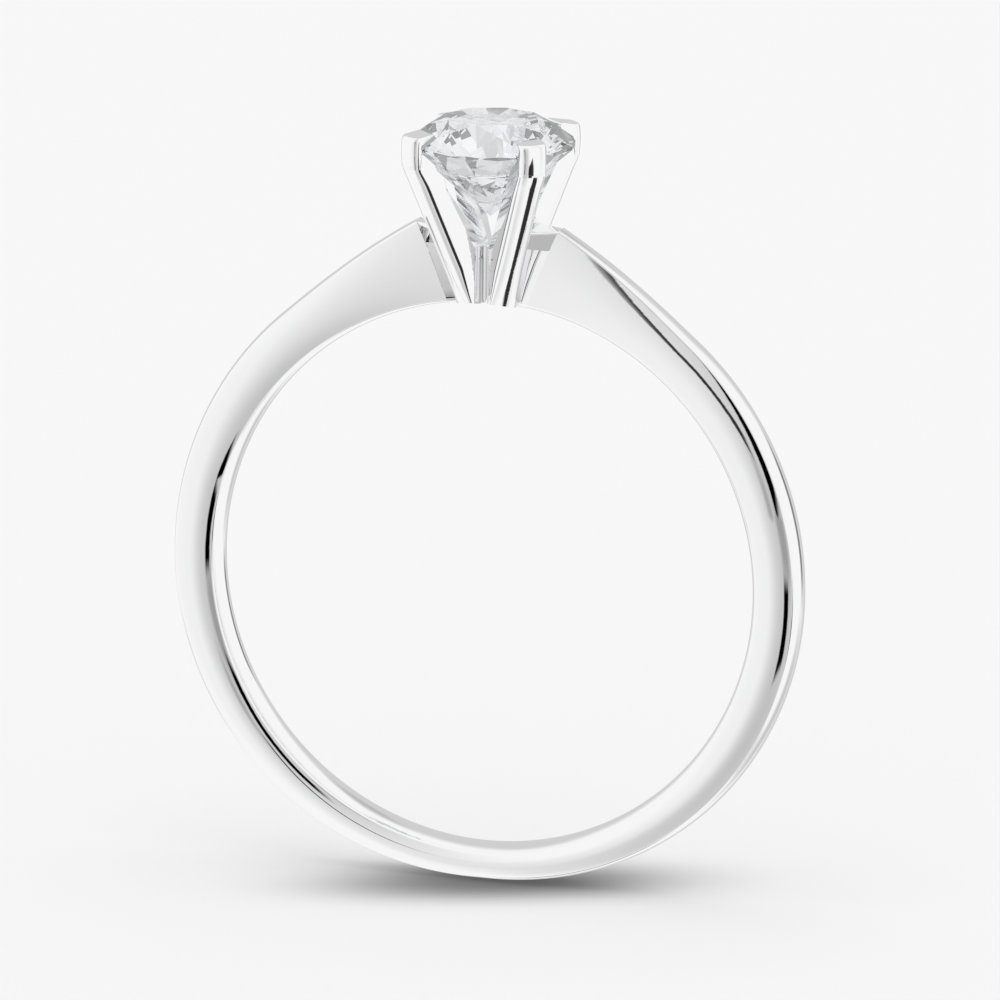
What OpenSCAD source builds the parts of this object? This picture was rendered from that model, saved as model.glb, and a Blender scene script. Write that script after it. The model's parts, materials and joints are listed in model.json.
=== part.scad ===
// Solitaire ring: a four-claw head between two rising shoulders, holding a round brilliant.
// Millimetres. +Z points from the finger to the stone, the finger hole runs along Y,
// and the origin is the middle of the finger hole.

/* [Finger hole] */
// inside diameter of the band
bore_d = 17.3; // [15.0:0.1:19.0]

/* [Band] */
// width of the band along the finger
band_w = 1.46; // [1.3:0.02:1.8]
// thickness opposite the stone
band_t_bottom = 1.15; // [1.0:0.02:1.4]
// thickness at the sides of the finger
band_t_side = 1.6; // [1.5:0.02:1.9]
// how far each side of the band swells out between its two edges
side_swell = 0.09; // [0.05:0.01:0.12]
// how far the inner edges lie back from the middle of the finger hole's wall
comfort = 0.22; // [0.15:0.01:0.26]
// how far the outer edges lie back from the middle of the outer face
crown = 0.16; // [0.1:0.01:0.2]

/* [Shoulders] */
// extra height gained where a shoulder ends at the head
shoulder_rise = 1.0; // [0.6:0.05:1.4]
// angle from the bottom of the band at which the rise starts
shoulder_start = 140; // [130:1:148]
// width of a shoulder where it ends
shoulder_end_w = 0.7; // [0.6:0.02:0.8]
// thickness of the web that reaches in between the claws
web_t = 0.4; // [0.3:0.02:0.5]

/* [Stone] */
// girdle diameter
stone_d = 5.21; // [4.95:0.01:5.4]
// table width as a share of the girdle diameter
table_share = 0.57; // [0.53:0.01:0.62]
// slope of the crown main facets
crown_angle = 34.5; // [33:0.5:36]
// slope of the pavilion main facets
pavilion_angle = 40.8; // [40:0.2:41.6]
// thickness of the girdle
girdle_t = 0.12; // [0.08:0.01:0.16]
// height of the girdle above the finger hole
girdle_lift = 5.02; // [4.9:0.02:5.2]

/* [Claws] */
// width of a claw across its outer face
claw_w = 0.92; // [0.84:0.02:1.0]
// distance of a claw's outer face from the head's axis at the finger hole
claw_foot_r = 1.0; // [0.94:0.02:1.1]
// how far a claw stands outside the girdle
claw_stand = 0.4; // [0.34:0.02:0.46]
// height of a claw's top above the girdle
claw_top = 0.44; // [0.4:0.02:0.5]
// how far a claw's tip reaches in over the crown
claw_reach = 0.42; // [0.36:0.02:0.5]
// rounding of a claw's long outer corners
claw_round = 0.16; // [0.1:0.01:0.2]

/* [Head post] */
// diameter of the post in which the claws meet
post_d = 0.54; // [0.48:0.02:0.6]
// height of the post above the finger hole
post_h = 1.85; // [1.65:0.05:2.05]

/* [Fit] */
// clearance between pieces that are brazed or set together
fit = 0.01; // [0.005:0.005:0.02]

/* [Hidden] */

bore_r = bore_d / 2;
stone_r = stone_d / 2;
girdle_z = bore_r + girdle_lift;
// floor of the opening between the claws
vee_z = bore_r + post_h;
facet_step = 45;
half_step = facet_step / 2;
steps_round = 96;
eps = 0.02;

// ---- shank: a rounded section carried round the finger ----
shank_stations = 96;
inner_steps = 4;
side_steps = 8;
outer_steps = 4;
corner_steps = 6;
// the plain wall's share of the inner face, and how far the section reaches into the hole that cuts it
wall_share = 0.39;
wall_back = 0.04;
hole_cut = 0.06;
// the end of a shoulder leans like the claws beside it
end_in_x = claw_foot_r + 0.27;
end_in_angle = 180 - asin(end_in_x / bore_r);
end_out_angle = end_in_angle - 3.4;
side_gain = 0.08;

function clamp01(v) = min(1, max(0, v));

// thickness before the rise; the angle is 0 opposite the stone and 180 under it
function base_t(c) = c < 90
    ? band_t_bottom + (band_t_side - band_t_bottom) * pow(sin(c), 1.2)
    : band_t_side + side_gain * (c - 90) / 45;
function rise(c) =
    shoulder_rise * pow(clamp01((c - shoulder_start) / (end_out_angle - shoulder_start)), 1.83);
function outer_r(c) = bore_r + base_t(c) + rise(c);
function half_w(c) =
    band_w / 2 + (shoulder_end_w - band_w) / 2 * clamp01((c - 105) / (end_out_angle - 105));

// an oval section of [radius, y] points whose four long edges stay crisp; its inner face is domed,
// and the finger hole leaves a narrow plain wall along the middle of it
function half_section(c) =
    let (h = half_w(c), edge = h * (1 - 2 * side_swell / band_w), k = h / (band_w / 2),
         ro = outer_r(c), lip = bore_r + comfort * k, brow = ro - crown * k, wall = wall_share * edge,
         inner = [for (i = [0:inner_steps]) let (y = wall + (edge - wall) * i / inner_steps)
             [lip - (lip - bore_r - wall_back) * (edge * edge - y * y) / (edge * edge - wall * wall), y]],
         side = [for (i = [1:side_steps]) let (t = -1 + 2 * i / side_steps)
             [(lip + brow) / 2 + (brow - lip) / 2 * t, edge + (h - edge) * (1 - t * t)]],
         outer = [for (i = [1:outer_steps]) let (t = 1 - i / (outer_steps + 0.5))
             [brow + (ro - brow) * (1 - t * t), edge * t]])
    concat([[bore_r - hole_cut, 0.1 * edge]], inner, side, outer);
function both_halves(half) = concat([for (p = half) [p[0], -p[1]]], [for (i = [len(half) - 1:-1:0]) half[i]]);

// a section point placed on the ring; k runs from -1 to 1 between the two ends
function placed(p, k) =
    let (ro = outer_r(abs(k) * end_out_angle),
         f = clamp01((p[0] - bore_r) / (ro - bore_r)),
         a = k * (end_in_angle + (end_out_angle - end_in_angle) * f) - 90)
    [p[0] * cos(a), p[1], p[0] * sin(a)];

// behind its end a shoulder goes on as a thin web that is wedged between two claws
web_half_t = web_t / 2;
wedge_apex = (claw_w / 2 + fit) * sqrt(2);
web_drop = 0.06;
web_corner = 0.08;
end_out_r = outer_r(end_out_angle);
end_low_z = bore_r * sin(end_in_angle - 90);
end_slope = (end_out_r * cos(end_out_angle - 90) - end_in_x)
    / (end_out_r * sin(end_out_angle - 90) - end_low_z);
web_top = end_out_r * sin(end_out_angle - 90) - web_drop;
web_mid = min(vee_z - 0.05, web_top - 0.3);

function web_x(i, z) =
    let (h = [web_half_t, web_half_t, 0.12][i])
    i == 0 ? end_in_x + end_slope * (z - end_low_z)
           : wedge_apex + h + 0.65 * clamp01((z - web_mid) / (web_top - web_mid));
// the foot of the web is the narrowed inner face of the shoulder's end; its top flares out to both claws
function web_ring(i, side) =
    let (h = [web_half_t, web_half_t, 0.12][i], q = web_corner, end = half_section(end_out_angle),
         foot = [for (j = [0:inner_steps + 1]) [end[j][0] * end_low_z / bore_r + (i == 0 ? 0.01 : -0.1),
             end[j][1] * 0.9 * h / end[inner_steps + 1][1]]],
         low = foot[inner_steps + 1][0], straight_steps = len(end) - len(foot) - corner_steps - 1,
         straight = [for (j = [1:straight_steps]) [low + (web_mid - low) * j / straight_steps, h]],
         flare = i == 0 ? h + 0.03 : web_x(i, web_top - q) - wedge_apex - fit,
         corner = [for (j = [0:corner_steps]) let (a = 90 * (1 - j / corner_steps))
             [web_top - q + q * cos(a), flare - q + q * sin(a)]])
    [for (p = both_halves(concat(foot, straight, corner))) [side * web_x(i, p[0]), p[1], p[0]]];

module loft(rings) {
    n = len(rings);
    m = len(rings[0]);
    pts = [for (ring = rings, p = ring) p];
    sides = [for (i = [0:n - 2], j = [0:m - 1])
        [i * m + j, i * m + (j + 1) % m, (i + 1) * m + (j + 1) % m, (i + 1) * m + j]];
    tris = [for (s = sides, t = [[s[0], s[1], s[2]], [s[0], s[2], s[3]]]) t];
    far = (n - 1) * m;
    first = [for (j = [0:m / 2 - 2]) [m - 1 - j, m - 2 - j, j + 1, j]];
    last = [for (j = [0:m / 2 - 2]) [far + j, far + j + 1, far + m - 2 - j, far + m - 1 - j]];
    polyhedron(points = pts, faces = concat(tris, first, last), convexity = 8);
}

module finger_hole(r = bore_r) {
    rotate([90, 0, 0]) cylinder(r = r, h = 12, center = true, $fn = 4 * steps_round);
}

module shank() {
    band = [for (i = [0:shank_stations])
        let (k = -1 + 2 * i / shank_stations)
        [for (p = both_halves(half_section(abs(k) * end_out_angle))) placed(p, k)]];
    left = [for (i = [2:-1:0]) web_ring(i, -1)];
    right = [for (i = [0:2]) web_ring(i, 1)];
    color([0.88, 0.88, 0.89])
    difference() {
        loft(concat(left, band, right));
        finger_hole();
    }
}

// ---- stone: a round brilliant of flat facets ----
table_r = table_share * stone_r;
crown_top = girdle_z + girdle_t / 2;
pavilion_top = girdle_z - girdle_t / 2;
table_z = crown_top + (stone_r - table_r) * tan(crown_angle);
culet_z = pavilion_top - stone_r * tan(pavilion_angle);
// where two mains, a star and two upper halves meet, and where two lower halves meet
star_r = (table_r * cos(half_step) + stone_r) / 2;
star_z = crown_top + (stone_r - star_r * cos(half_step)) * tan(crown_angle);
keel_r = 0.22 * stone_r;
keel_z = pavilion_top - (stone_r - keel_r * cos(half_step)) * tan(pavilion_angle);
// the girdle dips where a half facet runs out over the round edge
quarter = half_step / 2;
bulge = stone_r * (1 - cos(quarter));
upper_dip = bulge * (star_z - crown_top) / (stone_r * cos(quarter) - star_r * cos(quarter));
lower_dip = bulge * (pavilion_top - keel_z) / (stone_r * cos(quarter) - keel_r * cos(quarter));

function spot(r, a, z) = [r * cos(a), r * sin(a), z];

// point numbers: table 0-7, stars 8-15, girdle top 16-47, girdle foot 48-79, keels 80-87, culet 88
module diamond() {
    table = [for (i = [0:7]) spot(table_r, facet_step * i, table_z)];
    stars = [for (i = [0:7]) spot(star_r, facet_step * i + half_step, star_z)];
    top = [for (i = [0:31]) spot(stone_r, quarter * i, crown_top - (i % 2) * upper_dip)];
    foot = [for (i = [0:31]) spot(stone_r, quarter * i, pavilion_top + (i % 2) * lower_dip)];
    keels = [for (i = [0:7]) spot(keel_r, facet_step * i + half_step, keel_z)];
    faces = concat(
        [[for (i = [7:-1:0]) i]],
        [for (i = [0:7]) [i, (i + 1) % 8, 8 + i]],
        [for (i = [0:7]) [i, 8 + i, 16 + 4 * i, 8 + (i + 7) % 8]],
        [for (i = [0:7], s = [0, 2])
            [8 + i, 16 + (4 * i + s + 2) % 32, 16 + (4 * i + s + 1) % 32, 16 + (4 * i + s) % 32]],
        [for (i = [0:31]) [16 + i, 16 + (i + 1) % 32, 48 + (i + 1) % 32, 48 + i]],
        [for (i = [0:7], s = [0, 2])
            [80 + i, 48 + (4 * i + s) % 32, 48 + (4 * i + s + 1) % 32, 48 + (4 * i + s + 2) % 32]],
        [for (i = [0:7]) [88, 80 + (i + 7) % 8, 48 + 4 * i, 80 + i]]);
    color([0.86, 0.92, 0.97])
    polyhedron(points = concat(table, stars, top, foot, keels, [[0, 0, culet_z]]), faces = faces);
}

// ---- claws: a radial profile carried across the width of the claw ----
claw_half = claw_w / 2;
claw_out = stone_r + claw_stand;
elbow_z = girdle_z - 0.55;
// how far the outer face falls back from its widest place to the elbow and to the tip
elbow_fall = 0.03;
widest_rise = 0.5;
tip_z = girdle_z + claw_top;
tip_r = stone_r - claw_reach;
seat_r = stone_r - 0.5;
post_r = post_d / 2;
web_edge = 0.07;
taper_d = 0.5;
claw_lean = (claw_out - elbow_fall - claw_foot_r) / (elbow_z - bore_r);
vee_steps = 9;

function mix(a, b, t) = a + (b - a) * clamp01(t);
function claw_outer(z) = z < elbow_z
    ? claw_foot_r + (z - bore_r) * claw_lean
    : claw_out - elbow_fall * pow((z - elbow_z) / widest_rise - 1, 2);
// how far the outer face is rounded back, and the inner edge tapered, at a distance t from the middle
function rounded_back(t) =
    let (d = max(0, abs(t) - (claw_half - claw_round))) claw_round - sqrt(pow(claw_round, 2) - d * d);
function tapered(t) = taper_d * clamp01((abs(t) - web_edge) / (claw_half - web_edge));
function crown_at(r) = crown_top + fit + (stone_r - r) * tan(crown_angle);
function pavilion_at(r) = pavilion_top - fit - (stone_r - r) * tan(pavilion_angle);
// the foot of a claw lies on the finger hole; turn is 1 or -1 by the side the claw stands on
function foot_at(r, t, turn) = sqrt(pow(bore_r, 2) - pow((r - turn * t) / sqrt(2), 2));

// pairs of points, inner and outer, from the foot of a claw to its tip
function claw_pairs(t, turn) =
    let (back = rounded_back(t), inner = post_r + fit + tapered(t), wall = stone_r + fit,
         seat = seat_r + 0.2 * tapered(t), seat_z = pavilion_at(seat), foot_r = claw_foot_r - back)
    concat(
        [[[inner, foot_at(inner, t, turn)], [foot_r, foot_at(foot_r, t, turn)]]],
        [for (i = [1:3]) let (z = mix(bore_r, vee_z, i / 3)) [[inner, z], [claw_outer(z) - back, z]]],
        [for (i = [1:vee_steps]) let (z = mix(vee_z, seat_z, i / vee_steps))
            [[mix(inner, seat, i / vee_steps), z], [claw_outer(z) - back, z]]],
        [[[wall, pavilion_at(wall)], [claw_outer(elbow_z) - back, elbow_z]],
         [[wall, crown_at(wall)], [claw_outer(girdle_z - 0.2) - back, girdle_z - 0.2]],
         [[tip_r, crown_at(tip_r)], [claw_outer(girdle_z + 0.05) - back, girdle_z + 0.05]],
         [[tip_r, tip_z], [claw_outer(tip_z - 0.16) - back, tip_z - 0.16]],
         [[tip_r + 0.03, tip_z + 0.06], [claw_outer(tip_z - 0.06) - back, tip_z - 0.06]],
         [[tip_r + 0.08, tip_z + 0.08], [claw_outer(tip_z) - 0.06 - back, tip_z]]]);

module claw(turn) {
    ts = [for (i = [4:-1:0]) claw_half - claw_round * (1 - sin(22.5 * i))];
    half = concat(ts, [web_edge]);
    loft([for (t = concat(half, [for (i = [5:-1:0]) -half[i]]))
        let (pairs = claw_pairs(t, turn), n = len(pairs))
        concat([for (i = [0:n - 1]) [pairs[i][1][0], t, pairs[i][1][1]]],
               [for (i = [n - 1:-1:0]) [pairs[i][0][0], t, pairs[i][0][1]]])]);
}

module placed_claw(a, turn) {
    color([0.9, 0.9, 0.91]) rotate([0, 0, a]) claw(turn);
}

module claw_front_left() {
    placed_claw(225, 1);
}

module claw_front_right() {
    placed_claw(315, -1);
}

module claw_back_left() {
    placed_claw(135, -1);
}

module claw_back_right() {
    placed_claw(45, 1);
}

// ---- post ----
module head_post() {
    color([0.84, 0.84, 0.86])
    difference() {
        cylinder(r = post_r, h = vee_z, $fn = steps_round);
        finger_hole();
    }
}

shank();
head_post();
claw_front_left();
claw_front_right();
claw_back_left();
claw_back_right();
diamond();
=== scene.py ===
"""A solitaire ring dressed for its photograph: polished white metal, a round brilliant, a pale floor."""
import json
import logging
import math
from dataclasses import dataclass
from enum import Enum

import bmesh
import bpy
from mathutils import Matrix, Vector


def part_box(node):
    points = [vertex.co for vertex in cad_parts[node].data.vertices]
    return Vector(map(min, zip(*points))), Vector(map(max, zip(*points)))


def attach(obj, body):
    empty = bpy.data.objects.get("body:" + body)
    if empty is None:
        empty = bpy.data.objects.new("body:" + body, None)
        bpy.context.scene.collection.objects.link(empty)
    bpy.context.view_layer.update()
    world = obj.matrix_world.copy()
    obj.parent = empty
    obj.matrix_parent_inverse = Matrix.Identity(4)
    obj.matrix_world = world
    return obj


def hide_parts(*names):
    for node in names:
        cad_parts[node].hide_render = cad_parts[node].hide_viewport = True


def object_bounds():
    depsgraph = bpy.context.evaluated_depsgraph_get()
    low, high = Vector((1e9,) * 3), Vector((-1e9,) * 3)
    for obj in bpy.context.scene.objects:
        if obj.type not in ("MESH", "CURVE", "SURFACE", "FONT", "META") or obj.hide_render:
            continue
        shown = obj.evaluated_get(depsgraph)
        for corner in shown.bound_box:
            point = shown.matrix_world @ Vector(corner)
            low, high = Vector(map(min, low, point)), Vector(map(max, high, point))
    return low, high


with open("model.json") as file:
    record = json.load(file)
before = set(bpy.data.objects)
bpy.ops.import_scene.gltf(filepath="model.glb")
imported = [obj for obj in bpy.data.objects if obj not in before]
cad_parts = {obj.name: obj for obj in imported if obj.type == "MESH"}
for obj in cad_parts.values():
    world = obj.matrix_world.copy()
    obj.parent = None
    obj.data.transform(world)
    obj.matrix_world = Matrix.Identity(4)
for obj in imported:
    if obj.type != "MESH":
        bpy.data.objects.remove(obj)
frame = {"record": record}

log = logging.getLogger("ring")

MM = 0.001
CAD_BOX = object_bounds()
BODY = "root"
Point = tuple[float, float, float]
Pair = tuple[float, float]


def clamp01(value: float) -> float:
    """Returns the value held between 0 and 1."""
    return min(1.0, max(0.0, value))


def mix(start: float, end: float, share: float) -> float:
    """Returns the value that lies a share of the way from start to end."""
    return start + (end - start) * clamp01(share)


def sweep(start: float, end: float, steps: int) -> list[float]:
    """Returns steps + 1 even values from start to end."""
    return [start + (end - start) * i / steps for i in range(steps + 1)]


def size_mm(node: str, axis: int) -> float:
    """Returns how far a node of the frame reaches along an axis, in millimetres."""
    low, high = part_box(node)
    return (high[axis] - low[axis]) / MM


class Slot(Enum):
    """The finishes that the record names."""

    BAND = "band_metal"
    HEAD = "head_metal"
    STONE = "stone"


# ---------------------------------------------------------------- shader sockets to calculate with


class Wire:
    """A socket of a node tree that can be calculated with; each operation adds one node."""

    def __init__(self, tree: bpy.types.NodeTree, socket: bpy.types.NodeSocket) -> None:
        """Keeps the socket and its tree.

        Args:
            tree: The node tree that the socket is in.
            socket: An output socket.
        """
        self.tree = tree
        self.socket = socket

    def _node(self, kind: str, operation: str, values: tuple) -> bpy.types.Node:
        """Adds a node and feeds it.

        Args:
            kind: The node's type.
            operation: Its operation.
            values: Wires, numbers or vectors for its inputs, in order.

        Returns:
            The new node.
        """
        node = self.tree.nodes.new(kind)
        node.operation = operation
        for slot, value in zip(node.inputs, values):
            if isinstance(value, Wire):
                self.tree.links.new(value.socket, slot)
            else:
                slot.default_value = value
        return node

    def math(self, operation: str, *others: "Wire | float") -> "Wire":
        """Returns the result of a math node on this wire and the others."""
        return Wire(self.tree, self._node("ShaderNodeMath", operation, (self, *others)).outputs[0])

    def __add__(self, other: "Wire | float") -> "Wire":
        """Returns the sum."""
        return self.math("ADD", other)

    def __sub__(self, other: "Wire | float") -> "Wire":
        """Returns the difference."""
        return self.math("SUBTRACT", other)

    def __mul__(self, other: "Wire | float") -> "Wire":
        """Returns the product."""
        return self.math("MULTIPLY", other)

    def __truediv__(self, other: "Wire | float") -> "Wire":
        """Returns the quotient."""
        return self.math("DIVIDE", other)

    def dot(self, direction: Vector) -> "Wire":
        """Returns how far this vector reaches along a direction."""
        node = self._node("ShaderNodeVectorMath", "DOT_PRODUCT", (self, tuple(direction)))
        return Wire(self.tree, node.outputs["Value"])

    def fade(self, low: float, high: float, start: float = 0.0, end: float = 1.0) -> "Wire":
        """Turns the wire into a soft step.

        Args:
            low: The value at which the step starts.
            high: The value at which it ends.
            start: The result up to low.
            end: The result from high on.

        Returns:
            The stepped wire.
        """
        node = self.tree.nodes.new("ShaderNodeMapRange")
        node.interpolation_type = "SMOOTHSTEP"
        self.tree.links.new(self.socket, node.inputs["Value"])
        for name, value in (("From Min", low), ("From Max", high), ("To Min", start), ("To Max", end)):
            node.inputs[name].default_value = value
        return Wire(self.tree, node.outputs["Result"])

    def into(self, socket: bpy.types.NodeSocket) -> None:
        """Feeds an input socket."""
        self.tree.links.new(self.socket, socket)


def fresh_tree(owner: bpy.types.Material | bpy.types.World) -> bpy.types.NodeTree:
    """Returns the emptied node tree of a material or world."""
    owner.use_nodes = True
    owner.node_tree.nodes.clear()
    return owner.node_tree


def coordinates(tree: bpy.types.NodeTree, kind: str, stretch: Point = (1.0, 1.0, 1.0)) -> Wire:
    """Adds texture coordinates, stretched along the axes.

    Args:
        tree: The node tree.
        kind: The coordinate's name, such as Object.
        stretch: The scale along each axis.

    Returns:
        The coordinates.
    """
    place = tree.nodes.new("ShaderNodeTexCoord")
    mapping = tree.nodes.new("ShaderNodeMapping")
    mapping.inputs["Scale"].default_value = stretch
    tree.links.new(place.outputs[kind], mapping.inputs["Vector"])
    return Wire(tree, mapping.outputs["Vector"])


def noise(tree: bpy.types.NodeTree, place: Wire, scale: float, detail: float) -> Wire:
    """Adds a noise pattern.

    Args:
        tree: The node tree.
        place: The coordinates that it is drawn on.
        scale: How fine it is.
        detail: How many finer layers lie on it.

    Returns:
        The pattern, from 0 to 1.
    """
    node = tree.nodes.new("ShaderNodeTexNoise")
    node.inputs["Scale"].default_value = scale
    node.inputs["Detail"].default_value = detail
    place.into(node.inputs["Vector"])
    return Wire(tree, node.outputs["Fac"])


# ---------------------------------------------------------------- finishes


def let_out(tree: bpy.types.NodeTree, shader: bpy.types.Node, turns: tuple[float, float]) -> None:
    """Joins a shader to the surface; light that has turned very often goes straight on through it.

    Args:
        tree: The material's node tree.
        shader: The shader that light meets at first.
        turns: How often light has turned when it starts to go straight on, and when all of it does.
    """
    output = tree.nodes.new("ShaderNodeOutputMaterial")
    through = tree.nodes.new("ShaderNodeBsdfTransparent")
    blend = tree.nodes.new("ShaderNodeMixShader")
    path = tree.nodes.new("ShaderNodeLightPath")
    Wire(tree, path.outputs["Ray Depth"]).fade(*turns, 0.0, 1.0).into(blend.inputs["Fac"])
    tree.links.new(shader.outputs["BSDF"], blend.inputs[1])
    tree.links.new(through.outputs["BSDF"], blend.inputs[2])
    tree.links.new(blend.outputs["Shader"], output.inputs["Surface"])


@dataclass(frozen=True)
class PolishedMetal:
    """White precious metal, hand polished: mirror bright, with a faint haze and hair-fine scratches."""

    name: str
    colour: tuple[float, float, float, float]
    haze: tuple[float, float] = (0.012, 0.04)
    haze_band: tuple[float, float] = (0.35, 0.75)
    haze_size: float = 900.0
    scratch_stretch: Point = (2600.0, 42000.0, 2600.0)
    scratch_strength: float = 0.25
    scratch_height: float = 0.0000012
    turns: tuple[float, float] = (3.0, 4.0)

    def material(self) -> bpy.types.Material:
        """Builds the material.

        Returns:
            A metal whose roughness and bump come from noise at the scale of a polished ring.
        """
        made = bpy.data.materials.new(self.name)
        tree = fresh_tree(made)
        shader = tree.nodes.new("ShaderNodeBsdfPrincipled")
        let_out(tree, shader, self.turns)
        shader.inputs["Base Color"].default_value = self.colour
        shader.inputs["Metallic"].default_value = 1.0
        cloud = noise(tree, coordinates(tree, "Object"), self.haze_size, 3.0)
        cloud.fade(*self.haze_band, *self.haze).into(shader.inputs["Roughness"])
        hairs = noise(tree, coordinates(tree, "Object", self.scratch_stretch), 1.0, 2.0)
        bump = tree.nodes.new("ShaderNodeBump")
        bump.inputs["Strength"].default_value = self.scratch_strength
        bump.inputs["Distance"].default_value = self.scratch_height
        hairs.into(bump.inputs["Height"])
        tree.links.new(bump.outputs["Normal"], shader.inputs["Normal"])
        return made


@dataclass(frozen=True)
class BrilliantStone:
    """Clear diamond with a faint cool tint and polish that varies a little from facet to facet."""

    name: str = "clear_diamond"
    colour: tuple[float, float, float, float] = (0.95, 0.972, 1.0, 1.0)
    index: float = 2.417
    turns: tuple[float, float] = (5.0, 8.0)
    polish: tuple[float, float] = (0.0, 0.008)
    polish_band: tuple[float, float] = (0.3, 0.8)
    polish_size: float = 700.0

    def material(self) -> bpy.types.Material:
        """Builds the material.

        Returns:
            A clear material of diamond's refraction, with faint polishing marks; light that has turned
            often enough inside the stone goes straight out.
        """
        made = bpy.data.materials.new(self.name)
        tree = fresh_tree(made)
        shader = tree.nodes.new("ShaderNodeBsdfPrincipled")
        let_out(tree, shader, self.turns)
        shader.inputs["Base Color"].default_value = self.colour
        shader.inputs["Transmission Weight"].default_value = 1.0
        shader.inputs["IOR"].default_value = self.index
        marks = noise(tree, coordinates(tree, "Object"), self.polish_size, 2.0)
        marks.fade(*self.polish_band, *self.polish).into(shader.inputs["Roughness"])
        return made


@dataclass(frozen=True)
class PaperFloor:
    """Seamless pale paper with a painted shadow: its colour darkens in a soft oval under the ring, on top
    of the faint real shadow from the lamp; depth, reach, middle, turn and fall shape the painted shadow,
    and reach and middle are in millimetres.
    """

    name: str = "pale_paper_with_painted_shadow"
    tone: float = 0.935
    depth: float = 0.755
    reach: tuple[float, float] = (4.27, 1.70)
    middle: tuple[float, float] = (0.36, -0.64)
    turn: float = 24.5
    fall: float = 1.38
    grain_size: float = 1500.0
    grain: tuple[float, float] = (0.999, 1.001)

    def material(self) -> bpy.types.Material:
        """Builds the material.

        Returns:
            A matt material whose colour darkens in a soft oval of painted shadow under the ring.
        """
        made = bpy.data.materials.new(self.name)
        tree = fresh_tree(made)
        shader = tree.nodes.new("ShaderNodeBsdfDiffuse")
        output = tree.nodes.new("ShaderNodeOutputMaterial")
        tree.links.new(shader.outputs["BSDF"], output.inputs["Surface"])
        place = coordinates(tree, "Object")
        turn = math.radians(self.turn)
        across = Vector((math.cos(turn), math.sin(turn), 0)) / MM
        ahead = Vector((-math.sin(turn), math.cos(turn), 0)) / MM
        # painted shadow: the paper's colour darkens in a soft turned oval under the ring, standing in for
        # the ring's shadow
        reach = [((place.dot(way) - centre) / far).math("POWER", 2.0)
                 for way, centre, far in zip((across, ahead), self.middle, self.reach)]
        painted_shadow_pool = ((reach[0] + reach[1]).math("POWER", self.fall) * -0.5).math("EXPONENT")
        grain = noise(tree, place, self.grain_size, 2.0).fade(0.0, 1.0, *self.grain)
        tone = (painted_shadow_pool * -self.depth + 1.0) * grain * self.tone
        tone.into(shader.inputs["Color"])
        return made


# ---------------------------------------------------------------- mesh making


@dataclass
class Loft:
    """A skin over a run of closed rings, with both ends closed; the points are in millimetres."""

    rings: list[list[Point]]
    sharp_degrees: float = 24.0

    def build(self, name: str) -> bpy.types.Object:
        """Builds the object.

        Args:
            name: The name of the object and its mesh.

        Returns:
            A smooth-shaded object whose edges stay sharp where its faces meet at an angle.
        """
        shape = bmesh.new()
        rows = [[shape.verts.new(Vector(p) * MM) for p in ring] for ring in self.rings]
        count = len(rows[0])
        for near, far in zip(rows, rows[1:]):
            for i in range(count):
                j = (i + 1) % count
                shape.faces.new((near[i], near[j], far[j], far[i]))
        for row in (rows[0], rows[-1]):
            for i in range(count // 2 - 1):
                shape.faces.new((row[count - 1 - i], row[count - 2 - i], row[i + 1], row[i]))
        bmesh.ops.recalc_face_normals(shape, faces=shape.faces)
        mesh = bpy.data.meshes.new(name)
        shape.to_mesh(mesh)
        shape.free()
        mesh.shade_smooth()
        mesh.set_sharp_from_angle(angle=math.radians(self.sharp_degrees))
        piece = bpy.data.objects.new(name, mesh)
        bpy.context.collection.objects.link(piece)
        return piece


def dress(piece: bpy.types.Object, node: str, finish: bpy.types.Material) -> None:
    """Gives a piece its finish and its place in the frame, and reports it.

    Args:
        piece: The new piece.
        node: The node that it stands for.
        finish: Its material.
    """
    piece.data.materials.append(finish)
    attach(piece, BODY)
    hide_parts(node)
    log.info("%s stands for %s: %d faces", piece.name, node, len(piece.data.polygons))


@dataclass
class HeadPlan:
    """The sizes that the stone, the claws and the shoulders share, in millimetres."""

    bore_radius: float = frame["record"]["mounts"][0]["dims"]["r_mm"]
    stone_radius: float = size_mm("diamond", 0) / 2
    girdle_height: float = 13.67
    girdle: float = 0.12
    crown_angle: float = math.radians(34.5)
    pavilion_angle: float = math.radians(40.8)
    claw_width: float = 0.92
    claw_foot: float = 1.0
    post_radius: float = 0.27
    clearance: float = 0.01

    @property
    def crown_foot(self) -> float:
        """Height of the girdle's upper edge."""
        return self.girdle_height + self.girdle / 2

    @property
    def pavilion_head(self) -> float:
        """Height of the girdle's lower edge."""
        return self.girdle_height - self.girdle / 2

    @property
    def vee_height(self) -> float:
        """Height of the floor of the opening between the claws."""
        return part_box("head_post")[1][2] / MM


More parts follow.
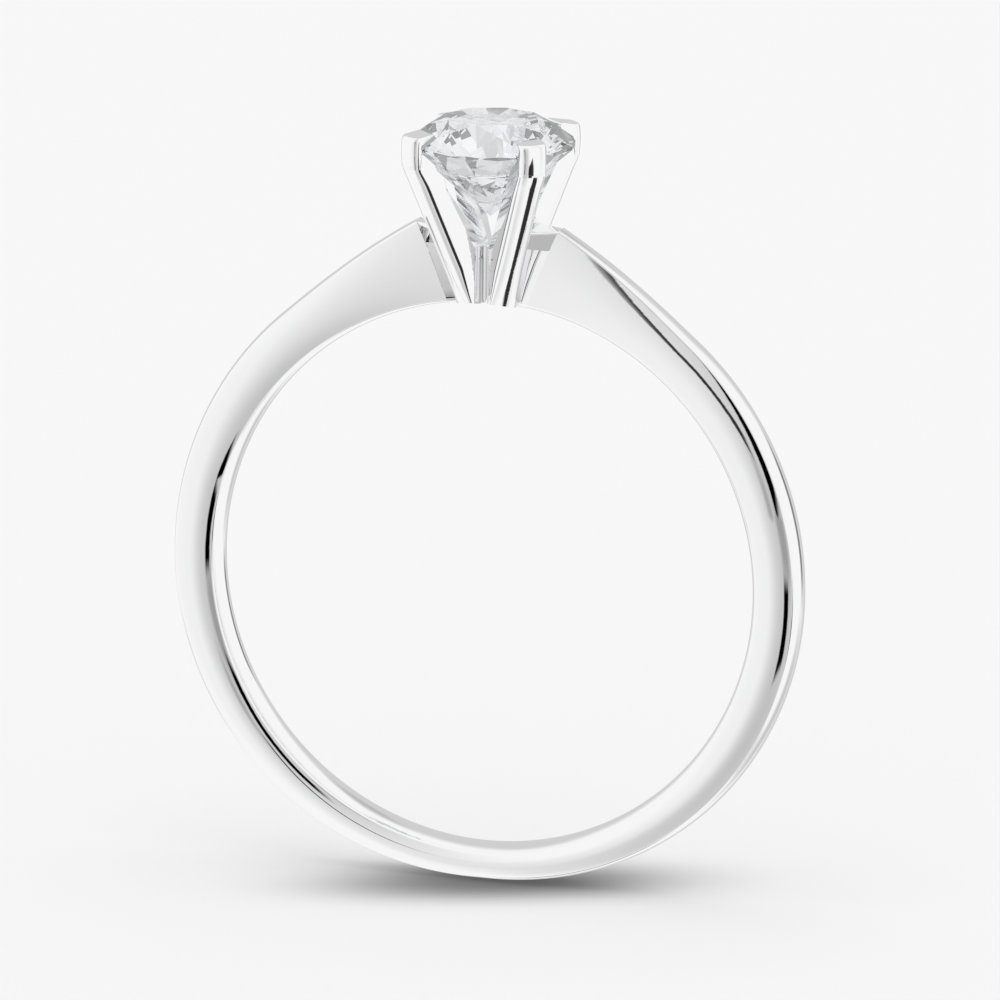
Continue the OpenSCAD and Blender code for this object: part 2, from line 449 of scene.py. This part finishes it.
@dataclass
class Shank:
    """The band: a domed section with crisp edges, carried round the finger up to a shoulder on each side.

    Sizes are in millimetres, and angles in degrees from the bottom of the ring. The web that goes on
    from a shoulder's end is as thick as web_root, web and web_tip say, from the shoulder inwards.
    """

    plan: HeadPlan
    finish: bpy.types.Material
    width: float = 1.46
    bottom_thickness: float = 1.146
    side_thickness: float = 1.598
    side_gain: float = 0.08
    thickening: float = 1.2
    swell: float = 0.09
    comfort: float = 0.22
    crown: float = 0.16
    inner_flat: float = 0.04
    outer_flat: float = 0.06
    rise: float = 1.0
    rise_start: float = 140.0
    rise_bend: float = 1.83
    narrow_start: float = 105.0
    end_width: float = 0.7
    end_lean: float = 3.4
    end_gap: float = 0.27
    web: float = 0.4
    web_root: float = 0.602
    web_tip: float = 0.24
    web_drop: float = 0.06
    web_waist: tuple[float, float] = (0.05, 0.3)
    web_corner: float = 0.08
    web_spread: float = 0.65
    web_foot_share: float = 0.9
    web_foot_sink: float = 0.02
    stations: int = 384
    inner_points: int = 8
    side_points: int = 16
    outer_points: int = 8
    corner_points: int = 6
    easing: float = 0.03
    easing_bow: float = 0.3
    easing_lead: float = 1.5

    @property
    def end_inner(self) -> float:
        """Angle from the bottom at which a shoulder ends at the finger hole."""
        return 180 - math.degrees(math.asin((self.plan.claw_foot + self.end_gap) / self.plan.bore_radius))

    @property
    def end_outer(self) -> float:
        """Angle from the bottom at which a shoulder ends at its outer edge."""
        return self.end_inner - self.end_lean

    def outer_radius(self, angle: float) -> float:
        """Returns the band's outer radius at an angle from the bottom."""
        if angle < 90:
            swell = math.sin(math.radians(angle)) ** self.thickening
            base = mix(self.bottom_thickness, self.side_thickness, swell)
        else:
            base = self.side_thickness + self.side_gain * (angle - 90) / 45
        climb = clamp01((angle - self.rise_start) / (self.end_outer - self.rise_start)) ** self.rise_bend
        return self.plan.bore_radius + base + self.rise * climb

    def half_width(self, angle: float) -> float:
        """Returns half of the band's width at an angle from the bottom."""
        share = (angle - self.narrow_start) / (self.end_outer - self.narrow_start)
        return mix(self.width, self.end_width, share) / 2

    def half_section(self, angle: float) -> list[Pair]:
        """Works out one side of the section.

        Args:
            angle: Angle from the bottom, in degrees.

        Returns:
            Points of radius and reach along the finger, from the finger hole outwards.
        """
        half, outer, bore = self.half_width(angle), self.outer_radius(angle), self.plan.bore_radius
        scale = half / (self.width / 2)
        edge = half - self.swell * scale
        lip, brow = bore + self.comfort * scale, outer - self.crown * scale
        inner = [(lip - (lip - bore) * (1 - t * t), edge * t)
                 for t in sweep(self.inner_flat, 1, self.inner_points)]
        side = [(mix(lip, brow, (t + 1) / 2), edge + (half - edge) * (1 - t * t))
                for t in sweep(-1, 1, self.side_points)[1:]]
        top = [(brow + (outer - brow) * (1 - t * t), edge * t)
               for t in sweep(1, self.outer_flat, self.outer_points)[1:]]
        return inner[:-1] + self.eased(inner, side) + side[:-1] + self.eased(side, top) + top

    def eased(self, before: list[Pair], after: list[Pair]) -> list[Pair]:
        """Rounds the crisp edge between two faces of the section.

        Args:
            before: Points of the face that ends at the edge; the last one is the edge.
            after: Points of the next face, from its first point beyond the edge.

        Returns:
            The points of the small rounding.
        """
        edge, back, ahead = (Vector(p) for p in (before[-1], before[-2], after[0]))
        back, ahead = (back - edge).normalized(), (ahead - edge).normalized()
        bow = edge + (back + ahead) * self.easing * self.easing_bow
        lead = self.easing * self.easing_lead
        points = [edge + back * lead, edge + back * self.easing, bow,
                  edge + ahead * self.easing, edge + ahead * lead]
        return [tuple(p) for p in points]

    def band_ring(self, share: float) -> list[Point]:
        """Works out the ring of points at a place on the band.

        Args:
            share: From -1 at the left shoulder's end to 1 at the right one's.

        Returns:
            The ring, which leans with the claws near the head.
        """
        angle = abs(share) * self.end_outer
        outer, bore = self.outer_radius(angle), self.plan.bore_radius
        ring = []
        for radius, reach in self.half_section(angle):
            depth = clamp01((radius - bore) / (outer - bore))
            turn = math.radians(share * (self.end_inner - self.end_lean * depth) - 90)
            ring.append((radius * math.cos(turn), -reach, radius * math.sin(turn)))
        return ring + [(x, -y, z) for x, y, z in reversed(ring)]

    def web_ring(self, index: int, side: int) -> list[Point]:
        """Works out a ring of the thin web that a shoulder sends in between two claws.

        Args:
            index: 0 at the shoulder's end, 2 at the web's edge.
            side: -1 for the left shoulder, 1 for the right one.

        Returns:
            The ring of points.
        """
        plan = self.plan
        half = (self.web_root, self.web, self.web_tip)[index] / 2
        low_angle, high_angle = (math.radians(a - 90) for a in (self.end_inner, self.end_outer))
        end_radius = self.outer_radius(self.end_outer)
        foot = (plan.bore_radius * math.cos(low_angle), plan.bore_radius * math.sin(low_angle))
        head = (end_radius * math.cos(high_angle), end_radius * math.sin(high_angle))
        slope = (head[0] - foot[0]) / (head[1] - foot[1])
        top = head[1] - self.web_drop
        middle = min(plan.vee_height - self.web_waist[0], top - self.web_waist[1])
        wedge = (plan.claw_width / 2 + plan.clearance) * math.sqrt(2)

        def inward(height: float) -> float:
            """Returns the ring's distance from the head's axis at a height."""
            if index == 0:
                return foot[0] + slope * (height - foot[1])
            return wedge + half + self.web_spread * clamp01((height - middle) / (top - middle))

        corner = self.web_corner
        inner = self.half_section(self.end_outer)[:self.inner_points + 1]
        narrow = self.web_foot_share * half / inner[-1][1]
        sink = 0.0 if index == 0 else self.web_foot_sink
        base = math.sqrt(plan.bore_radius ** 2 - inward(foot[1]) ** 2)
        low = [(base + radius - plan.bore_radius - sink, reach * narrow) for radius, reach in inner]
        straight = len(self.half_section(self.end_outer)) - len(low) - self.corner_points - 1
        flank = [(z, half) for z in sweep(low[-1][0], middle, straight)[1:]]
        flare = half - 0.02 if index == 0 else inward(top - corner) - wedge - plan.clearance
        arc = [(top - corner + corner * math.sin(a), flare - corner + corner * math.cos(a))
               for a in sweep(0, math.pi / 2, self.corner_points)]
        ring = [(side * inward(z), -reach, z) for z, reach in low + flank + arc]
        return ring + [(x, -y, z) for x, y, z in reversed(ring)]

    def build(self) -> bpy.types.Object:
        """Builds the band and dresses it.

        Returns:
            The band's object.
        """
        band = [self.band_ring(share) for share in sweep(-1, 1, self.stations)]
        left = [self.web_ring(i, -1) for i in (2, 1, 0)]
        right = [self.web_ring(i, 1) for i in (0, 1, 2)]
        piece = Loft(left + band + right).build("polished_band")
        dress(piece, "shank", self.finish)
        return piece


class Corner(Enum):
    """The four claws, each with its place round the head in degrees and the side it leans to."""

    FRONT_LEFT = (225, 1)
    FRONT_RIGHT = (315, -1)
    BACK_LEFT = (135, -1)
    BACK_RIGHT = (45, 1)


@dataclass
class Claw:
    """One claw: it rises from the finger hole, leans out to the girdle and folds over the stone.

    Sizes are in millimetres; across is counted from the claw's middle, and radius from the head's axis.
    """

    plan: HeadPlan
    corner: Corner
    finish: bpy.types.Material
    stand: float = 0.4
    top: float = 0.44
    reach: float = 0.42
    seat_depth: float = 0.5
    seat_taper: float = 0.2
    neck_drop: float = 0.2
    fold_rise: float = 0.44
    tip_drop: float = 0.16
    tip_round: float = 0.08
    tip_lean: float = 0.06
    fullness: float = 2.5
    round_depth: tuple[float, float, float] = (0.15, 0.42, 0.3)
    round_rise: float = 1.2
    elbow_blend: float = 0.6
    web_edge: float = 0.07
    taper: float = 0.5
    foot_dome: float = 0.15
    elbow_drop: float = 0.55
    elbow_fall: float = 0.03
    widest_rise: float = 0.5
    round_points: int = 20
    foot_steps: int = 3
    seat_steps: int = 12
    fold_steps: int = 4

    def outer(self, height: float) -> float:
        """Returns the distance of the outer face from the head's axis at a height."""
        plan = self.plan
        out, elbow = plan.stone_radius + self.stand, plan.girdle_height - self.elbow_drop
        if height < elbow:
            lean = (out - self.elbow_fall - plan.claw_foot) / (elbow - plan.bore_radius)
            return plan.claw_foot + (height - plan.bore_radius) * lean
        return out - self.elbow_fall * ((height - elbow) / self.widest_rise - 1) ** 2

    def profile(self, across: float) -> list[tuple[Pair, Pair]]:
        """Works out a lengthwise cut of the claw.

        Args:
            across: The cut's distance from the middle of the claw.

        Returns:
            Pairs of inner and outer points, each a distance from the head's axis and a height.
        """
        plan, half = self.plan, self.plan.claw_width / 2
        turn = self.corner.value[1]
        over = min(1.0, abs(across) / half)
        curl = 1 - (1 - over ** self.fullness) ** (1 / self.fullness)
        taper = self.taper * clamp01((abs(across) - self.web_edge) / (half - self.web_edge))
        inner = plan.post_radius + plan.clearance + taper
        wall = plan.stone_radius + plan.clearance
        seat = plan.stone_radius - self.seat_depth + self.seat_taper * taper
        tip = plan.stone_radius - self.reach
        tip_height, elbow = plan.girdle_height + self.top, plan.girdle_height - self.elbow_drop

        def foot(radius: float) -> float:
            """Returns the height of the domed finger hole under a point of the claw."""
            aside = (radius - turn * across) / math.sqrt(2)
            along = (radius + turn * across) / math.sqrt(2)
            return math.sqrt(plan.bore_radius ** 2 - aside ** 2) + self.foot_dome * min(along, 1.0) ** 2

        def crown(radius: float) -> float:
            """Returns the height of the crown, with clearance, at a distance from the axis."""
            climb = (plan.stone_radius - radius) * math.tan(plan.crown_angle)
            return plan.crown_foot + plan.clearance + climb

        def pavilion(radius: float) -> float:
            """Returns the height of the pavilion, with clearance, at a distance from the axis."""
            drop = (plan.stone_radius - radius) * math.tan(plan.pavilion_angle)
            return plan.pavilion_head - plan.clearance - drop

        def edge(height: float) -> float:
            """Returns the outer face's distance from the axis here, rounded back towards the flanks."""
            low, middle, high = self.round_depth
            depth = mix(low, middle, (height - plan.bore_radius) / self.round_rise)
            depth = min(depth, mix(middle, high, (height - elbow) / self.elbow_blend + 1))
            return self.outer(height) - curl * depth

        low_edge = edge(plan.bore_radius)
        pairs = [((inner, foot(inner)), (low_edge, foot(low_edge)))]
        for share in sweep(0, 1, self.foot_steps)[1:]:
            height = mix(plan.bore_radius, plan.vee_height, share)
            pairs.append(((inner, height), (edge(height), height)))
        for share in sweep(0, 1, self.seat_steps)[1:]:
            height = mix(plan.vee_height, pavilion(seat), share)
            pairs.append(((mix(inner, seat, share), height), (edge(height), height)))
        pairs.append(((wall, pavilion(wall)), (edge(elbow), elbow)))
        neck = plan.girdle_height - self.neck_drop
        pairs.append(((wall, crown(wall)), (edge(neck), neck)))
        for share in sweep(0, 1, self.fold_steps)[1:]:
            rim, height = mix(wall, tip, share), neck + self.fold_rise * share
            pairs.append(((rim, crown(rim)), (edge(height), height)))
        brow = tip_height - self.tip_drop
        pairs.append(((tip, tip_height), (edge(brow), brow)))
        for share in sweep(0, 1, self.fold_steps)[1:]:
            swing = share * math.pi / 2
            lift, step = self.tip_round * math.sin(swing), self.tip_round * (1 - math.cos(swing))
            height = mix(brow, tip_height, share)
            outside = edge(height) - self.tip_lean * share ** 3
            pairs.append(((tip + step, tip_height + lift), (outside, height)))
        return pairs

    def build(self) -> bpy.types.Object:
        """Builds the claw and dresses it.

        Returns:
            The claw's object.
        """
        half = self.plan.claw_width / 2
        side = [half * math.sin(a) for a in sweep(math.pi / 2, 0, self.round_points)[:-1]]
        side = sorted(side + [self.web_edge], reverse=True)
        turn = Matrix.Rotation(math.radians(self.corner.value[0]), 3, "Z")
        rings = []
        for across in side + [-t for t in reversed(side)]:
            pairs = self.profile(across)
            ring = [(outer[0], across, outer[1]) for inner, outer in pairs]
            ring += [(inner[0], across, inner[1]) for inner, outer in reversed(pairs)]
            rings.append([tuple(turn @ Vector(p)) for p in ring])
        node = f"claw_{self.corner.name.lower()}"
        piece = Loft(rings).build(f"polished_{node}")
        dress(piece, node, self.finish)
        return piece


@dataclass
class HeadPost:
    """The post in which the four claws meet."""

    plan: HeadPlan
    finish: bpy.types.Material
    rounding: float = 0.05
    rounding_steps: int = 6
    sides: int = 64

    def build(self) -> bpy.types.Object:
        """Builds the post and dresses it.

        Returns:
            The post's object.
        """
        plan = self.plan
        levels = [(plan.post_radius, None)]
        levels += [(plan.post_radius - self.rounding * (1 - math.cos(a)),
                    plan.vee_height - self.rounding * (1 - math.sin(a)))
                   for a in sweep(0, math.pi / 2, self.rounding_steps)]
        rings = []
        for radius, height in levels:
            ring = []
            for i in range(self.sides):
                angle = 2 * math.pi * (i + 0.5) / self.sides
                x, y = radius * math.cos(angle), radius * math.sin(angle)
                on_bore = math.sqrt(plan.bore_radius ** 2 - x ** 2)
                ring.append((x, y, on_bore if height is None else height))
            rings.append(ring)
        piece = Loft(rings).build("polished_head_post")
        dress(piece, "head_post", self.finish)
        return piece


@dataclass
class Brilliant:
    """The stone: a round brilliant of 57 flat facets and a faceted girdle."""

    plan: HeadPlan
    finish: bpy.types.Material
    table_share: float = 0.57
    keel_share: float = 0.22

    def build(self) -> bpy.types.Object:
        """Builds the stone and dresses it.

        Returns:
            The stone's object, flat shaded.
        """
        plan, stone = self.plan, self.plan.stone_radius
        crown, keel_slope = math.tan(plan.crown_angle), math.tan(plan.pavilion_angle)
        table = self.table_share * stone
        main, half, quarter = math.radians(45), math.radians(22.5), math.radians(11.25)
        star = (table * math.cos(half) + stone) / 2
        star_height = plan.crown_foot + (stone - star * math.cos(half)) * crown
        keel = self.keel_share * stone
        keel_height = plan.pavilion_head - (stone - keel * math.cos(half)) * keel_slope
        bulge, chord = stone * (1 - math.cos(quarter)), stone * math.cos(quarter)
        upper_slope = (star_height - plan.crown_foot) / (chord - star * math.cos(half - quarter))
        lower_slope = (plan.pavilion_head - keel_height) / (chord - keel * math.cos(half - quarter))
        upper_dip, lower_dip = bulge * upper_slope, bulge * lower_slope

        def spot(radius: float, angle: float, height: float) -> Point:
            """Returns a point at a radius, angle and height about the stone's axis."""
            return radius * math.cos(angle), radius * math.sin(angle), height

        points = [spot(table, main * i, plan.crown_foot + (stone - table) * crown) for i in range(8)]
        points += [spot(star, main * i + half, star_height) for i in range(8)]
        points += [spot(stone, quarter * i, plan.crown_foot - (i % 2) * upper_dip) for i in range(32)]
        points += [spot(stone, quarter * i, plan.pavilion_head + (i % 2) * lower_dip) for i in range(32)]
        points += [spot(keel, main * i + half, keel_height) for i in range(8)]
        points.append((0.0, 0.0, plan.pavilion_head - stone * keel_slope))
        # the points come in rings: the table, the stars' tips, both girdle edges, the keels' tips
        stars, upper, lower, keels, culet = 8, 16, 48, 80, 88
        faces = [tuple(range(8))]
        for i in range(8):
            after, before = (i + 1) % 8, (i + 7) % 8
            faces += [(i, after, stars + i), (i, stars + i, upper + 4 * i, stars + before)]
            faces.append((culet, keels + before, lower + 4 * i, keels + i))
            for s in (0, 2):
                rim = [(4 * i + s + k) % 32 for k in range(3)]
                faces.append((stars + i, upper + rim[2], upper + rim[1], upper + rim[0]))
                faces.append((keels + i, lower + rim[0], lower + rim[1], lower + rim[2]))
        faces += [(upper + i, upper + (i + 1) % 32, lower + (i + 1) % 32, lower + i) for i in range(32)]
        shape = bmesh.new()
        spots = [shape.verts.new(Vector(p) * MM) for p in points]
        for face in faces:
            shape.faces.new([spots[k] for k in face])
        bmesh.ops.recalc_face_normals(shape, faces=shape.faces)
        mesh = bpy.data.meshes.new("cut_diamond")
        shape.to_mesh(mesh)
        shape.free()
        piece = bpy.data.objects.new("cut_diamond", mesh)
        bpy.context.collection.objects.link(piece)
        dress(piece, "diamond", self.finish)
        return piece


# ---------------------------------------------------------------- studio


@dataclass(frozen=True)
class DarkCard:
    """A dark card of the studio, far away; angles in degrees, its bearing to the right of the front."""

    bearing: float
    elevation: float
    half_width: float
    half_height: float
    darkness: float = 1.0
    edge: float = 0.2
    tilt: float = 0.0


# the tent's opening, which draws the black strokes along the band
OPENING = (
    DarkCard(6.3, -16.2, 3.4, 3.6, edge=0.25),
    DarkCard(3.2, 2.4, 7.8, 3.0, edge=0.2, tilt=-44),
    DarkCard(-8.7, -2.2, 5.6, 0.9, 0.95, 0.35, 2),
    DarkCard(1.5, 17.0, 5.0, 0.9, 0.7, 0.4, -50),
    DarkCard(-3.0, -5.5, 3.0, 2.5, 0.35, 0.8),
)
# soft greys of the room, which shade the band's flanks and the finger hole
SHADES = (
    DarkCard(12.0, -8.0, 25.0, 45.0, 0.34, 0.64),
    DarkCard(0.0, -14.0, 44.0, 14.0, 0.06, 0.5),
    DarkCard(8.0, -8.0, 5.0, 5.0, 0.42, 0.6),
    DarkCard(-3.0, -34.0, 14.0, 16.0, 0.08, 0.4),
    DarkCard(-167.5, 13.0, 37.5, 52.0, 0.33, 0.35),
    DarkCard(160.0, 52.0, 8.0, 12.0, 0.22, 0.6),
    DarkCard(148.0, -33.0, 9.0, 14.0, 0.38, 0.6),
    DarkCard(92.0, 20.0, 8.0, 35.0, 0.1, 0.6),
)
# cards that draw the dark strokes on the claws and between them
CLAW_CARDS = (
    DarkCard(54.0, -19.5, 12.0, 7.0, 0.97, 0.2, 25),
    DarkCard(88.0, -51.5, 6.0, 6.0, 0.97, 0.25),
    DarkCard(151.0, -2.0, 6.0, 11.0, 0.75, 0.35),
    DarkCard(-62.0, -27.0, 7.0, 6.0, 0.55, 0.5),
    DarkCard(-2.0, -85.0, 13.0, 13.0, 0.68, 0.4),
)


@dataclass
class Studio:
    """White tent with a few dark cards, a lamp overhead, the floor and the camera."""

    cards: tuple[DarkCard, ...] = OPENING + SHADES + CLAW_CARDS
    paper: float = 0.922
    tent: float = 1.0
    fill: float = 0.9
    lamp: float = 0.1
    lamp_angle: float = 60.0
    floor_reach: float = 2.0
    far_clip: float = 10.0
    azimuth: float = 17.618
    elevation: float = 13.844
    roll: float = 0.525
    distance: float = 300.4
    pixels_per_mm: float = 32.087
    centre_pixel: tuple[float, float] = (487.305, 573.141)
    image_pixels: float = 1000.0

    def floor(self) -> bpy.types.Object:
        """Lays the floor under the lowest point of the frame.

        Returns:
            The floor's object.
        """
        shape = bmesh.new()
        bmesh.ops.create_grid(shape, x_segments=8, y_segments=8, size=self.floor_reach)
        mesh = bpy.data.meshes.new("floor")
        shape.to_mesh(mesh)
        shape.free()
        piece = bpy.data.objects.new("floor", mesh)
        bpy.context.collection.objects.link(piece)
        piece.location.z = CAD_BOX[0][2]
        mesh.materials.append(PaperFloor().material())
        piece.visible_glossy = False
        piece.visible_transmission = False
        return piece

    def card_mask(self, ray: Wire, card: DarkCard) -> Wire:
        """Works out how much of a card lies in a direction.

        Args:
            ray: The direction looked in.
            card: The card.

        Returns:
            1 on the card and 0 beside it.
        """
        turn, lift, tilt = (math.radians(a) for a in (card.bearing - 90, card.elevation, card.tilt))
        middle = Vector((math.cos(turn) * math.cos(lift), math.sin(turn) * math.cos(lift), math.sin(lift)))
        level = Vector((-math.sin(turn), math.cos(turn), 0.0))
        upright = middle.cross(level)
        across = level * math.cos(tilt) + upright * math.sin(tilt)
        along = upright * math.cos(tilt) - level * math.sin(tilt)
        ahead = ray.dot(middle).math("MAXIMUM", 0.001)
        mask = ray.dot(middle).fade(0.0, 0.01)
        for axis, half in ((across, card.half_width), (along, card.half_height)):
            limit = math.tan(math.radians(half))
            aside = (ray.dot(axis) / ahead).math("ABSOLUTE")
            mask = mask * aside.fade(limit * (1 - card.edge), limit * (1 + card.edge), 1, 0)
        return mask * card.darkness

    def world(self) -> None:
        """Builds the tent: pale paper for the camera, white with dark cards for reflections, even fill."""
        world = bpy.data.worlds.new("tent")
        bpy.context.scene.world = world
        tree = fresh_tree(world)
        ray = coordinates(tree, "Generated")
        light = (self.card_mask(ray, self.cards[0]) * -1.0 + 1.0) * self.tent
        for card in self.cards[1:]:
            light = light * (self.card_mask(ray, card) * -1.0 + 1.0)
        path = tree.nodes.new("ShaderNodeLightPath")
        camera, glossy, clear = (Wire(tree, path.outputs[f"Is {kind} Ray"])
                                 for kind in ("Camera", "Glossy", "Transmission"))
        mirrored = glossy.math("MAXIMUM", clear)
        rest = (mirrored * -1.0 + 1.0) * self.fill
        seen = (camera * -1.0 + 1.0) * (mirrored * light + rest) + camera * self.paper
        shader = tree.nodes.new("ShaderNodeBackground")
        shader.inputs["Color"].default_value = (1.0, 1.0, 1.0, 1.0)
        output = tree.nodes.new("ShaderNodeOutputWorld")
        seen.into(shader.inputs["Strength"])
        tree.links.new(shader.outputs["Background"], output.inputs["Surface"])

    def overhead(self) -> None:
        """Hangs the weak lamp that casts a faint real shadow on the floor; the rest of the floor's shadow
        is painted into the paper's colour.
        """
        lamp = bpy.data.lights.new("overhead", "SUN")
        lamp.energy = self.lamp * math.pi
        lamp.angle = math.radians(self.lamp_angle)
        hung = bpy.data.objects.new("overhead", lamp)
        bpy.context.collection.objects.link(hung)
        hung.visible_glossy = False
        hung.visible_transmission = False

    def camera(self) -> None:
        """Places the camera at the photograph's angle, with the finger hole's middle at its pixel."""
        turn, lift, roll = (math.radians(a) for a in (self.azimuth, self.elevation, self.roll))
        back = Vector((math.sin(turn) * math.cos(lift), -math.cos(turn) * math.cos(lift), math.sin(lift)))
        level = Vector((math.cos(turn), math.sin(turn), 0.0))
        upright = back.cross(level)
        right = level * math.cos(roll) + upright * math.sin(roll)
        up = upright * math.cos(roll) - level * math.sin(roll)
        place = back * self.distance * MM
        middle = self.image_pixels / 2
        aim = right * (middle - self.centre_pixel[0]) + up * (self.centre_pixel[1] - middle)
        aim = aim / self.pixels_per_mm * MM
        back = (place - aim).normalized()
        right = up.cross(back).normalized()
        up = back.cross(right)
        lens = bpy.data.cameras.new("camera")
        lens.lens = lens.sensor_width * self.pixels_per_mm * self.distance / self.image_pixels
        lens.clip_end = self.far_clip
        held = bpy.data.objects.new("camera", lens)
        bpy.context.collection.objects.link(held)
        held.matrix_world = Matrix.Translation(place) @ Matrix((right, up, back)).transposed().to_4x4()
        bpy.context.scene.camera = held

    def build(self) -> None:
        """Builds the whole studio."""
        self.floor()
        self.world()
        self.overhead()
        self.camera()
        bpy.context.scene.view_settings.view_transform = "Standard"


def main() -> None:
    """Builds the ring piece by piece, then the studio round it."""
    logging.basicConfig(level=logging.INFO, format="%(name)s: %(message)s")
    plan = HeadPlan()
    band_metal = PolishedMetal("polished_band_metal", (0.92, 0.92, 0.925, 1.0)).material()
    head_metal = PolishedMetal("polished_head_metal", (0.925, 0.925, 0.93, 1.0)).material()
    Shank(plan, band_metal).build()
    for corner in Corner:
        Claw(plan, corner, head_metal).build()
    HeadPost(plan, head_metal).build()
    Brilliant(plan, BrilliantStone().material()).build()
    Studio().build()
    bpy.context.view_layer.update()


if __name__ == "__main__":
    main()
